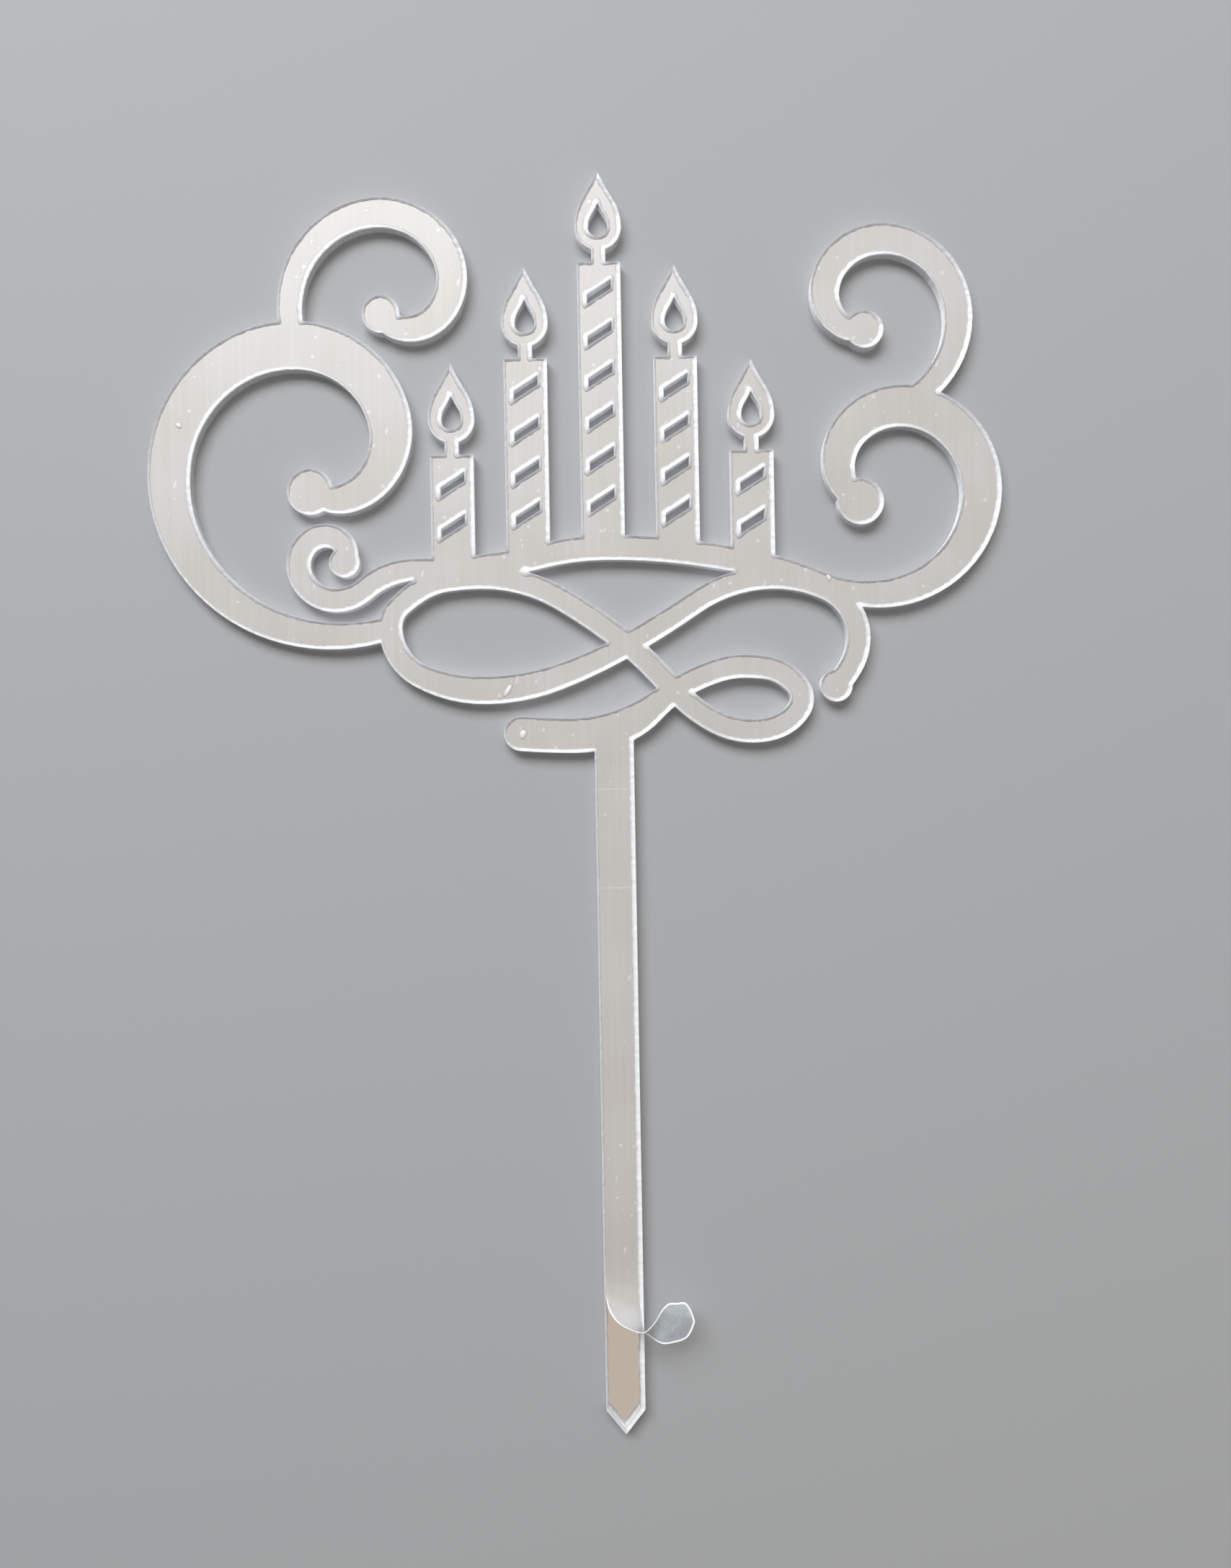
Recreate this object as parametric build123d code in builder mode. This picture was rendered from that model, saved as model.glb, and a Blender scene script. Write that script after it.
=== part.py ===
from build123d import *
from collections import namedtuple
from math import atan2, ceil, cos, degrees, hypot, pi, radians, sin, sqrt, tan
import os

# Cake topper: a mirror-acrylic silhouette of candles and scrollwork, laser cut in one with its stake
# and still wearing its protective film. It stands upright in the XZ plane and faces -Y.
# The origin is the stake's tip, at the middle of the sheet's thickness.

# Sheet and the layers on it
SHEET_THICKNESS = 1.5
COAT_THICKNESS = 0.05
LACQUER_THICKNESS = 0.05
FILM_THICKNESS = 0.08
BURN_BACK = 0.15  # the cut burns the mirror coat and its lacquer back from the edge
FILM_SETBACK = 0.12  # the film shrinks back from the edge
SKIN_CHORD_SAG = 0.12  # the layers' edges are straight chords that stay this close to the true curves

# Stake
STAKE_WIDTH = 5.4
STAKE_LENGTH = 95.0  # from the tip to the underside of the tail
POINT_HEIGHT = 3.4

# Flourish: one pen line that runs from its tail round a small loop and two wide ones
LINE_WIDTH = 3.2
LOOP_WIDTH = 3.8  # the pen's swell along the foot of the left loop
TAIL_WIDTH = 4.8
TAIL_LENGTH = 12.8  # from the stake's axis to the middle of the tail's round end
CROSSING_X = 2.2  # where the wide loops cross
CROSSING_RISE = 14.5  # above the stake
SMALL_LOOP_REACH = 24.0  # from the crossing to the far side of the small loop
SMALL_LOOP_HEIGHT = 9.1
LEFT_LOOP_REACH = 32.9
LEFT_LOOP_RISE = 9.7
LEFT_LOOP_DROP = 6.0
RIGHT_LOOP_REACH = 32.0
RIGHT_LOOP_RISE = 9.0
END_BALL = 4.4  # diameter

# Rail that the candles stand on
RAIL_WIDTH = 3.4
RAIL_LIFT = 1.4  # above the middle line of the loops, so that the two cuts run into each other
RAIL_ARCH = 2.4
RAIL_LEFT_OVERHANG = 16.0  # past the top of the loop
RAIL_RIGHT_OVERHANG = 8.0

# Candles
CANDLE_COUNT = 5
CANDLE_PITCH = 10.4
CANDLE_MIDDLE_X = -1.0
CANDLE_WIDTH = 6.0
TALLEST_RISE = 80.3  # from the stake's top to the tip of the middle flame
CANDLE_STEP = 13.2  # how much lower each candle is than the one before it
STRIPE_WIDTH = 1.4
STRIPE_PITCH = 5.8
STRIPE_DROP = 4.06  # from the top of the wax to the middle of the first stripe
STRIPE_SLANT = 32.0  # degrees
STRIPE_BRIDGE = 1.3  # acrylic left at each side of a stripe
WICK_WIDTH = 1.9
WICK_HEIGHT = 1.7
FLAME_WIDTH = 6.4
FLAME_HEIGHT = 11.0
FLAME_WALL = 1.8
FLAME_LEAN = 24.0  # degrees from upright, of each side at the tip

# Volutes: how far each one's eye lies across and up from where its line starts, and its widest pen
LEFT_SCROLL_ACROSS = -10.2
LEFT_SCROLL_UP = 24.0
LEFT_SCROLL_SWEEP = -390  # degrees
LEFT_SCROLL_WIDTH = 6.8
RIGHT_SCROLL_ACROSS = 8.2
RIGHT_SCROLL_UP = 15.0
RIGHT_SCROLL_SWEEP = 340
RIGHT_SCROLL_WIDTH = 6.0
SCROLL_EYE = 5.0  # radius at which the line ends
SCROLL_BALL = 6.4
LEFT_CREST_START = 0.5  # share of the scroll's sweep at which the crest leaves it
LEFT_CREST_ACROSS = 13.6
LEFT_CREST_UP = 7.0
RIGHT_CREST_START = 0.58
RIGHT_CREST_ACROSS = -4.0
RIGHT_CREST_UP = 14.0
CREST_SWEEP = 330
CREST_WIDTH = 4.4
CREST_EYE = 3.4
CREST_BALL = 5.2
CURL_ACROSS = -4.6
CURL_UP = 4.2
CURL_EYE = 1.9
CURL_BALL = 4.2
VOLUTE_SPANS = 5

# Film that has come off the foot of the stake
PEEL_START = 19.0  # height at which its left edge lifts
PEEL_END = 14.0  # height of the neck, where the strip stands off the sheet
PEEL_LEAN = 23.7  # degrees by which it leans towards the top there
PEEL_SPANS = 6
TAB_LENGTH = 6.6
TAB_RISE = 1.2
TAB_FACING = 0.5  # share of its length in which it turns its face to the front
TAB_POINT = 2.0  # length of its pointed end
TAB_END = 0.25  # share of the width that is left at the end
TAB_SPANS = 8
NECK_GAP = 0.15

# A place on a pen line: how wide the pen is there, and which way it heads in degrees
Station = namedtuple("Station", "x z width heading")

# A spiral that starts at a station and closes in on its eye
Volute = namedtuple("Volute", "start across up sweep eye_radius widest")


def biarc(start, start_heading, end, end_heading):
    """Two arcs that leave one point along its heading and reach the next along its own."""
    chord = end - start
    chord_squared = chord.dot(chord)
    reach = chord.dot(start_heading + end_heading)
    spread = 2 * (1 - start_heading.dot(end_heading))
    # the tangents at the two ends are equally long up to where they meet the one at the joint
    arm = chord_squared / (reach + sqrt(reach**2 + spread * chord_squared))
    joint = (start + end + (start_heading - end_heading) * arm) * 0.5
    TangentArc(start, joint, tangent=start_heading)
    TangentArc(end, joint, tangent=-end_heading)


def line_sides(stations, setback):
    """Both sides of a pen line, as places and headings, drawn in by a setback."""
    left = []
    right = []
    for station in stations:
        angle = radians(station.heading)
        heading = Vector(cos(angle), sin(angle))
        across = Vector(-sin(angle), cos(angle)) * (station.width / 2 - setback)
        place = Vector(station.x, station.z)
        left.append((place + across, heading))
        right.append((place - across, heading))
    return left, right


def on_volute(volute, share, outside=0, widening=0):
    """The place and heading at a share of a volute's sweep, some way outside its middle line."""
    start_radius = hypot(volute.across, volute.up)
    closing = volute.eye_radius - start_radius
    turning = radians(volute.sweep)
    angle = atan2(-volute.up, -volute.across) + turning * share
    radius = start_radius + closing * share + outside
    spoke = Vector(cos(angle), sin(angle))
    around = Vector(-sin(angle), cos(angle))
    eye = Vector(volute.start.x + volute.across, volute.start.z + volute.up)
    heading = spoke * (closing + widening) + around * (radius * turning)
    return eye + spoke * radius, heading.normalized()


def volute_station(volute, share):
    """The station at a share of a volute's sweep, where another line can start."""
    place, heading = on_volute(volute, share)
    return Station(place.X, place.Y, LINE_WIDTH, degrees(atan2(heading.Y, heading.X)))


def volute_sides(volute, setback):
    """Both sides of a volute, whose pen swells to its widest half way."""
    swell = volute.widest - LINE_WIDTH
    sides = ([], [])
    for side, outward in zip(sides, (1, -1)):
        for i in range(VOLUTE_SPANS + 1):
            share = i / VOLUTE_SPANS
            half = (LINE_WIDTH + swell * sin(pi * share)) / 2 - setback
            widening = swell * pi * cos(pi * share) / 2
            side.append(on_volute(volute, share, outward * half, outward * widening))
    return sides


def stroke(left, right):
    """The face between the two sides of a pen line, with round ends."""
    with BuildSketch() as mark:
        with BuildLine():
            for side in (left, right):
                for start, end in zip(side, side[1:]):
                    biarc(*start, *end)
            for end, outward in ((0, -1), (-1, 1)):
                left_end, heading = left[end]
                right_end = right[end][0]
                middle = (left_end + right_end) * 0.5
                bulge = heading * (left_end - middle).length * outward
                ThreePointArc(left_end, middle + bulge, right_end)
        make_face()
    return mark.sketch


def flourish():
    """The tail with its small loop, the line back over the left loop, and the line over the right one."""
    cross_z = STAKE_LENGTH + CROSSING_RISE
    tail_z = STAKE_LENGTH + TAIL_WIDTH / 2

    def small(along, up, heading, width=LINE_WIDTH):
        x = CROSSING_X + along * SMALL_LOOP_REACH
        return Station(x, tail_z + up * SMALL_LOOP_HEIGHT, width, heading)

    def left(along, up, heading, width=LINE_WIDTH):
        x = CROSSING_X - along * LEFT_LOOP_REACH
        height = LEFT_LOOP_RISE if up > 0 else LEFT_LOOP_DROP
        return Station(x, cross_z + up * height, width, heading)

    def right(along, up, heading):
        x = CROSSING_X + along * RIGHT_LOOP_REACH
        return Station(x, cross_z + up * RIGHT_LOOP_RISE, LINE_WIDTH, heading)

    tail = [
        Station(-TAIL_LENGTH, tail_z, TAIL_WIDTH, -5),
        Station(0, tail_z + TAIL_WIDTH / 12, TAIL_WIDTH, 16),
        small(0.40, 0.80, 24),
        small(0.68, 0.97, -2),
        small(0.91, 0.82, -36),
        small(1.00, 0.46, -90),
    ]
    back = [
        small(1.00, 0.46, -90),
        small(0.92, 0.13, -144),
        small(0.72, -0.02, -180),
        small(0.30, 0.53, -226),
        left(0, 0, -220),
        left(0.62, 1.00, -180),
        left(0.89, 0.80, -146),
        left(1.00, 0.30, -90),
    ]
    over = [
        left(1.00, 0.30, -90),
        left(0.60, -1.00, 0, LOOP_WIDTH),
        left(0, 0, 29),
        right(0.63, 1.00, 0),
        right(1.00, 0.05, -90),
        right(0.90, -0.69, -135),
    ]
    return tail, back, over


def scrollwork():
    """The flourish and the rail as pen lines, and the volutes that grow from them."""
    tail, back, over = flourish()
    left_side = back[-1]
    left_top = back[-3]
    right_top = over[3]
    rail_left = Station(left_top.x - RAIL_LEFT_OVERHANG, left_top.z - RAIL_LIFT, LINE_WIDTH, 0)
    rail_right = Station(right_top.x + RAIL_RIGHT_OVERHANG, right_top.z - RAIL_LIFT, LINE_WIDTH, 0)
    left_scroll = Volute(
        left_side, LEFT_SCROLL_ACROSS, LEFT_SCROLL_UP, LEFT_SCROLL_SWEEP, SCROLL_EYE, LEFT_SCROLL_WIDTH
    )
    right_scroll = Volute(
        rail_right, RIGHT_SCROLL_ACROSS, RIGHT_SCROLL_UP, RIGHT_SCROLL_SWEEP, SCROLL_EYE, RIGHT_SCROLL_WIDTH
    )
    left_shoulder = volute_station(left_scroll, LEFT_CREST_START)
    right_shoulder = volute_station(right_scroll, RIGHT_CREST_START)
    left_crest = Volute(
        left_shoulder, LEFT_CREST_ACROSS, LEFT_CREST_UP, -CREST_SWEEP, CREST_EYE, CREST_WIDTH
    )
    right_crest = Volute(
        right_shoulder, RIGHT_CREST_ACROSS, RIGHT_CREST_UP, CREST_SWEEP, CREST_EYE, CREST_WIDTH
    )
    curl = Volute(rail_left, CURL_ACROSS, CURL_UP, -CREST_SWEEP, CURL_EYE, RAIL_WIDTH)
    # the rail leaves its ends along the curl, the other way round, and along the right scroll
    rail = [
        rail_left._replace(heading=volute_station(curl, 0).heading + 180),
        Station(left_top.x, left_top.z + RAIL_LIFT, RAIL_WIDTH, 5),
        Station(CANDLE_MIDDLE_X, left_top.z + RAIL_LIFT + RAIL_ARCH, RAIL_WIDTH, 0),
        Station(right_top.x, right_top.z + RAIL_LIFT, RAIL_WIDTH, -14),
        volute_station(right_scroll, 0),
    ]
    balls = [
        (over[-1], END_BALL),
        (volute_station(left_scroll, 1), SCROLL_BALL),
        (volute_station(right_scroll, 1), SCROLL_BALL),
        (volute_station(left_crest, 1), CREST_BALL),
        (volute_station(right_crest, 1), CREST_BALL),
        (volute_station(curl, 1), CURL_BALL),
    ]
    return (tail, back, over, rail), (left_scroll, right_scroll, left_crest, right_crest, curl), balls


def stake(setback):
    """The straight stake with its point, let into the tail."""
    half = STAKE_WIDTH / 2 - setback
    slope = atan2(POINT_HEIGHT, STAKE_WIDTH / 2)
    tip_z = setback / cos(slope)
    shoulder_z = tip_z + half * tan(slope)
    top_z = STAKE_LENGTH + TAIL_WIDTH / 2
    with BuildSketch() as outline:
        with BuildLine():
            Polyline(
                (0, tip_z),
                (half, shoulder_z),
                (half, top_z),
                (-half, top_z),
                (-half, shoulder_z),
                close=True,
            )
        make_face()
    return outline.sketch


def candle(x, foot_z, tip_z, setback):
    """A striped candle on the rail, with its wick and a flame that has an open heart."""
    flame_foot = tip_z - FLAME_HEIGHT
    bulb_z = flame_foot + FLAME_WIDTH / 2
    wax_top = flame_foot - WICK_HEIGHT
    half = CANDLE_WIDTH / 2 - setback
    lean = radians(FLAME_LEAN)
    with BuildSketch() as outline:
        with BuildLine():
            Polyline(
                (x - half, foot_z),
                (x + half, foot_z),
                (x + half, wax_top - setback),
                (x - half, wax_top - setback),
                close=True,
            )
        make_face()
        with BuildLine():
            Line((x, wax_top - WICK_HEIGHT), (x, bulb_z))
        trace(line_width=WICK_WIDTH - 2 * setback)
        # the flame is filled first, then its heart is taken out
        for inset, mode in ((setback, Mode.ADD), (FLAME_WALL - setback, Mode.SUBTRACT)):
            bulge = FLAME_WIDTH / 2 - inset
            peak = Vector(x, tip_z - inset / sin(lean))
            with BuildLine():
                ThreePointArc((x - bulge, bulb_z), (x, bulb_z - bulge), (x + bulge, bulb_z))
                biarc(Vector(x + bulge, bulb_z), Vector(0, 1), peak, Vector(-sin(lean), cos(lean)))
                biarc(Vector(x - bulge, bulb_z), Vector(0, 1), peak, Vector(sin(lean), cos(lean)))
            make_face(mode=mode)
        # slanted stripes are cut through the wax, with a bridge of acrylic at each end
        run = CANDLE_WIDTH / 2 - STRIPE_BRIDGE + setback
        rise = run * tan(radians(STRIPE_SLANT))
        half_stripe = STRIPE_WIDTH / 2 + setback
        stripe_count = int((wax_top - foot_z - RAIL_WIDTH / 2) / STRIPE_PITCH)
        for n in range(stripe_count):
            z = wax_top - STRIPE_DROP - STRIPE_PITCH * n
            with BuildLine():
                Polyline(
                    (x - run, z - rise - half_stripe),
                    (x + run, z + rise - half_stripe),
                    (x + run, z + rise + half_stripe),
                    (x - run, z - rise + half_stripe),
                    close=True,
                )
            make_face(mode=Mode.SUBTRACT)
    return outline.sketch


def topper_face(setback):
    """The whole silhouette, drawn in from the cut edge by a setback."""
    lines, volutes, balls = scrollwork()
    rail = lines[-1]
    rail_half = (rail[3].x - rail[1].x) / 2
    with BuildSketch() as face:
        for line in lines:
            add(stroke(*line_sides(line, setback)))
        for volute in volutes:
            add(stroke(*volute_sides(volute, setback)))
        for station, diameter in balls:
            with Locations((station.x, station.z)):
                Circle(diameter / 2 - setback)
        add(stake(setback))
        for i in range(CANDLE_COUNT):
            rank = i - (CANDLE_COUNT - 1) / 2
            across = CANDLE_PITCH * rank
            foot_z = rail[1].z + RAIL_ARCH * (1 - (across / rail_half) ** 2)
            tip_z = STAKE_LENGTH + TALLEST_RISE - CANDLE_STEP * abs(rank)
            add(candle(CANDLE_MIDDLE_X + across, foot_z, tip_z, setback))
    return face.sketch


def in_chords(face):
    """The same face with straight chords for its arcs."""
    outlines = []
    for wire in (face.outer_wire(), *face.inner_wires()):
        corners = []
        for edge in wire.order_edges():
            steps = 1
            if edge.geom_type == GeomType.CIRCLE:
                steps = ceil(edge.length / sqrt(8 * edge.radius * SKIN_CHORD_SAG))
            corners += [edge @ (i / steps) for i in range(steps)]
        outlines.append(Wire.make_polygon(corners))
    return Face(outlines[0], outlines[1:])


def film_strip(rings):
    """A thin solid through the corners of its cross-sections, in flat triangles."""
    facets = [rings[0], rings[-1][::-1]]
    for near, far in zip(rings, rings[1:]):
        for k in range(4):
            a, b, c, d = near[k], near[k - 3], far[k - 3], far[k]
            # both faces are cut along the same diagonal, so that the film keeps its thickness
            facets += [(a, d, b), (b, d, c)] if k < 2 else [(a, c, b), (a, d, c)]
    return Solid(Shell([Face(Wire.make_polygon(corners)) for corners in facets]))


os.makedirs("parts", exist_ok=True)
plate_face = topper_face(0)
coat_face = in_chords(topper_face(BURN_BACK).face())
film_face = in_chords(topper_face(FILM_SETBACK).face())

# The sheet, front face towards -Y
with BuildPart() as acrylic_plate:
    with BuildSketch(Plane.XZ.offset(-SHEET_THICKNESS / 2)):
        add(plate_face)
    extrude(amount=SHEET_THICKNESS)

# The mirror on the back of the sheet, and the lacquer over it
with BuildPart() as mirror_coat:
    with BuildSketch(Plane.XZ.offset(-SHEET_THICKNESS / 2)):
        add(coat_face)
    extrude(amount=-COAT_THICKNESS)

with BuildPart() as back_lacquer:
    with BuildSketch(Plane.XZ.offset(-SHEET_THICKNESS / 2 - COAT_THICKNESS)):
        add(coat_face)
    extrude(amount=-LACQUER_THICKNESS)

# The film on the front, down to where its left edge lifts off the stake
with BuildPart() as front_film:
    with BuildSketch(Plane.XZ.offset(SHEET_THICKNESS / 2)):
        add(film_face)
        with Locations((0, PEEL_START / 2)):
            Rectangle(STAKE_WIDTH, PEEL_START, mode=Mode.SUBTRACT)
    extrude(amount=FILM_THICKNESS)

# The loose film turns on its right edge as it comes down the stake, until it stands off the sheet
film_width = STAKE_WIDTH - 2 * FILM_SETBACK
film_right = film_width / 2
film_y = -SHEET_THICKNESS / 2
lean = radians(PEEL_LEAN)
standing = Vector(0, -cos(lean), sin(lean))
with BuildPart() as film_curl:
    sections = []
    for i in range(PEEL_SPANS + 1):
        turn = radians(90) * i / PEEL_SPANS
        pivot = Vector(film_right, film_y, PEEL_START - (PEEL_START - PEEL_END) * sin(turn))
        across = (Vector(-cos(turn), 0, 0) + standing * sin(turn)) * film_width
        through = Vector(sin(turn), -cos(turn), 0) * FILM_THICKNESS
        sections.append((pivot, pivot + across, pivot + across + through, pivot + through))
    add(film_strip(sections))

# Past the neck the free end leaves to the right and turns its face to the front
with BuildPart() as film_tab:
    sections = []
    neck = Vector(film_right + FILM_THICKNESS + NECK_GAP, film_y, PEEL_END)
    neck += standing * (NECK_GAP + film_width / 2)
    along = Vector(TAB_LENGTH, 0, TAB_RISE)
    for i in range(TAB_SPANS + 1):
        share = i / TAB_SPANS
        facing = radians(90 - PEEL_LEAN) * (1 - sin(pi / 2 * min(1, share / TAB_FACING)))
        width = film_width * min(1, (1 - share) * TAB_LENGTH / TAB_POINT + TAB_END)
        middle = neck + along * share
        half_across = Vector(0, -sin(facing), cos(facing)) * (width / 2)
        half_through = along.cross(half_across).normalized() * (FILM_THICKNESS / 2)
        sections.append((
            middle - half_across - half_through,
            middle + half_across - half_through,
            middle + half_across + half_through,
            middle - half_across + half_through,
        ))
    add(film_strip(sections))

for name, piece in (
    ("acrylic_plate", acrylic_plate),
    ("mirror_coat", mirror_coat),
    ("back_lacquer", back_lacquer),
    ("front_film", front_film),
    ("film_curl", film_curl),
    ("film_tab", film_tab),
):
    piece.part.label = name
    export_step(piece.part, f"parts/{name}.step")
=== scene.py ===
import bmesh
import bpy
import numpy as np
from mathutils import Matrix, Vector


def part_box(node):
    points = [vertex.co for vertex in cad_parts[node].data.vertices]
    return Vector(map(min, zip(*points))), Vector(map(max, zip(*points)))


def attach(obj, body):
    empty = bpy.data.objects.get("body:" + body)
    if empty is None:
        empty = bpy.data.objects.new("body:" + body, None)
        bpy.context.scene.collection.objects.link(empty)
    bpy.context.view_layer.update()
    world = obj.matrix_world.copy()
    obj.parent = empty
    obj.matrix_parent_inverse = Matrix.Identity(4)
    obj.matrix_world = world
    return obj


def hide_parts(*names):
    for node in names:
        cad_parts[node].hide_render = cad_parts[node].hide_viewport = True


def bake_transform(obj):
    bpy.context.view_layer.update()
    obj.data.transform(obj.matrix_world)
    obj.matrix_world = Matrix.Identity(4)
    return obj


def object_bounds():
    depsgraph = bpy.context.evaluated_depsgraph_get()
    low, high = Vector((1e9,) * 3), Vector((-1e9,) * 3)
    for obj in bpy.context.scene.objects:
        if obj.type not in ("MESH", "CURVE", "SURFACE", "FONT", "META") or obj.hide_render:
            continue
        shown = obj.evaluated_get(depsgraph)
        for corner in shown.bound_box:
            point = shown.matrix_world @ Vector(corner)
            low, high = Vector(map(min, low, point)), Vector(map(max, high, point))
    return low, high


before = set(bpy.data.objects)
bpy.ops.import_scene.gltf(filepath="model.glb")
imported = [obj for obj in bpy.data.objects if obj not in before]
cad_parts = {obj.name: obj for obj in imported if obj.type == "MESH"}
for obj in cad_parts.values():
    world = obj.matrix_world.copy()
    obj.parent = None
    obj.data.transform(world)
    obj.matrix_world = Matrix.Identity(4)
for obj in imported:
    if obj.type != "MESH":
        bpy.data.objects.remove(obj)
cad_low, cad_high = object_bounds()


# Clear acrylic plate: one laser-cut sheet with the stake, the scrolls and the candles in one piece.
# Its faces are polished as cast. The beam leaves the cut walls frosted, with fine lines straight through
# the sheet, and from inside the sheet they are given a painted glow: an emission, strongest on the walls
# that face away from the window, stands in for the window light that comes through the sheet to them.
MM = 0.001
BLACK = (0, 0, 0, 1)
CLEAR_ACRYLIC = (0.97, 0.98, 0.98, 1)
POLISH = (0.005, 0.05)
HAZE_SCALE = 400.0
CUT_WALL = (0.78, 0.79, 0.83, 1)
CUT_LINE_DARK = (0.62, 0.64, 0.69, 1)
CUT_LINE_LIGHT = (0.92, 0.92, 0.94, 1)
CUT_LINE_DEPTH = 0.04 * MM
CUT_ROUGHNESS = (0.25, 0.5)
THROUGH_SHEET = (1, 0.05, 1)
PAINTED_WALL_GLOW = (0.72, 0.71, 0.72, 1)
LEAST_GLOW = 0.3
GLOW_TURN = (-0.4, 0.5)
TOWARDS_WINDOW = (-0.75, 0, 0.66)


def add(tree, kind, sockets=None, **settings):
    """A shader node of that kind. Each named socket takes a plain value, or a link where the value is
    another node's output."""
    made = tree.nodes.new("ShaderNode" + kind)
    for name, value in settings.items():
        setattr(made, name, value)
    for name, value in (sockets or {}).items():
        if isinstance(value, bpy.types.NodeSocket):
            tree.links.new(value, made.inputs[name])
        else:
            made.inputs[name].default_value = value
    return made


def effect(name, inputs, output):
    """An empty node group: its tree, its number inputs, and a function that joins the finished value to
    its one output."""
    tree = bpy.data.node_groups.new(name, "ShaderNodeTree")
    for label, value in inputs.items():
        socket = tree.interface.new_socket(label, in_out="INPUT", socket_type="NodeSocketFloat")
        socket.default_value = value
    tree.interface.new_socket(output, in_out="OUTPUT", socket_type="NodeSocketFloat")
    given = tree.nodes.new("NodeGroupInput")
    result = tree.nodes.new("NodeGroupOutput")
    return tree, given.outputs, lambda value: tree.links.new(value, result.inputs[output])


def place_effect(tree, name, **values):
    """The output of an effect's node group, placed in a material with its own values."""
    made = add(tree, "Group", node_tree=bpy.data.node_groups[name])
    for label, value in values.items():
        made.inputs[label.replace("_", " ")].default_value = value
    return made.outputs[0]


def finish_of(name, sockets):
    """A material with one Principled shader, its tree and the shader. Each socket gets its plain value,
    which is also what shows of a linked socket where nodes aren't run."""
    material = bpy.data.materials.new(name)
    material.use_nodes = True
    shader = material.node_tree.nodes["Principled BSDF"]
    for label, value in sockets.items():
        shader.inputs[label].default_value = value
    return material, material.node_tree, shader


def feed(tree, shader, values):
    """Joins each value to the shader's socket of that name."""
    for label, value in values.items():
        tree.links.new(value, shader.inputs[label])


def on_object(tree):
    """The place on the object, in metres."""
    return add(tree, "TexCoord").outputs["Object"]


def noise(tree, place, scale, detail=2.0):
    """Noise from 0 to 1 at a place, at about that many cells to the metre."""
    return add(tree, "TexNoise", {"Vector": place, "Scale": scale, "Detail": detail}).outputs["Fac"]


def maths(tree, operation, *values):
    """The result of one Math node on these values."""
    return add(tree, "Math", dict(enumerate(values)), operation=operation).outputs[0]


def spread(tree, value, low, high):
    """A value from 0 to 1 spread over the range from low to high."""
    return add(tree, "MapRange", {"Value": value, "To Min": low, "To Max": high}).outputs[0]


def ramp(tree, value, start, stop, least=0.0):
    """A share that climbs from the least to 1 as the value goes from start to stop."""
    sockets = {"Value": value, "From Min": start, "From Max": stop, "To Min": least}
    return add(tree, "MapRange", sockets).outputs[0]


def tint(tree, share, low, high):
    """A colour between low and high, by a share from 0 to 1."""
    return add(tree, "Mix", {"Factor": share, 6: low, 7: high}, data_type="RGBA").outputs[2]


def emboss(tree, height, depth):
    """The normal of a surface with a height from 0 to 1 as bumps of that depth in metres."""
    return add(tree, "Bump", {"Height": height, "Distance": depth, "Strength": 1.0}).outputs["Normal"]


# The laser's pulses: noise drawn out through the sheet's thickness, so it reads as lines on any wall.
tree, given, give = effect("laser_lines", {"Lines per metre": 2600.0}, "Line")
drawn = add(tree, "VectorMath", {0: on_object(tree), 1: THROUGH_SHEET}, operation="MULTIPLY").outputs[0]
give(noise(tree, drawn, given[0]))

clear, tree, shader = finish_of("clear_acrylic", {
    "Base Color": CLEAR_ACRYLIC,
    "Roughness": 0.02,
    "IOR": 1.49,
    "Transmission Weight": 1.0,
})
feed(tree, shader, {"Roughness": spread(tree, noise(tree, on_object(tree), HAZE_SCALE), *POLISH)})

cut_wall, tree, shader = finish_of("frosted_cut_wall", {
    "Base Color": CUT_WALL,
    "Coat Weight": 0.3,
    "Emission Strength": 1.0,
})
# Painted glow: seen from inside the sheet the wall emits light, most where it faces away from the window.
seen = add(tree, "NewGeometry").outputs
facing = add(tree, "VectorMath", {0: seen["Normal"], 1: TOWARDS_WINDOW}, operation="DOT_PRODUCT")
lit = ramp(tree, facing.outputs["Value"], *GLOW_TURN, LEAST_GLOW)
glow = maths(tree, "MULTIPLY", lit, seen["Backfacing"])
line = place_effect(tree, "laser_lines")
feed(tree, shader, {
    "Base Color": tint(tree, line, CUT_LINE_DARK, CUT_LINE_LIGHT),
    "Roughness": spread(tree, line, *CUT_ROUGHNESS),
    "Emission Color": tint(tree, glow, BLACK, PAINTED_WALL_GLOW),
    "Normal": emboss(tree, line, CUT_LINE_DEPTH),
})


def dress(piece, *materials):
    """Puts these materials in the piece's slots in place of what it came with."""
    piece.data.materials.clear()
    for material in materials:
        piece.data.materials.append(material)


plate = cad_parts["acrylic_plate"]
dress(plate, clear, cut_wall)


# Mirror coat: a bright metal film, laid by vacuum on the plate's back, which makes the plate a mirror.
# The plate's own back takes its finish. The sheet keeps a hair's breadth off the plate and the paint,
# because a ray can't tell faces that share one plane apart.
SILVER = (0.93, 0.92, 0.91, 1)
SILVER_DULL = (0.88, 0.87, 0.86, 1)
SILVER_ROUGHNESS = (0.01, 0.07)
SILVER_CLOUDS = 90.0
HAIR = 0.012 * MM
ONE_PLACE = 1e-7
BACK_TURN = 0.5


def merge(mesh):
    """Joins the points of a mesh that stand in one place."""
    joined = bmesh.new()
    joined.from_mesh(mesh)
    bmesh.ops.remove_doubles(joined, verts=joined.verts, dist=ONE_PLACE)
    joined.to_mesh(mesh)
    joined.free()


def points_of(mesh):
    """The points of a mesh, as an (n, 3) array."""
    points = np.empty(len(mesh.vertices) * 3)
    mesh.vertices.foreach_get("co", points)
    return points.reshape(-1, 3)


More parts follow.
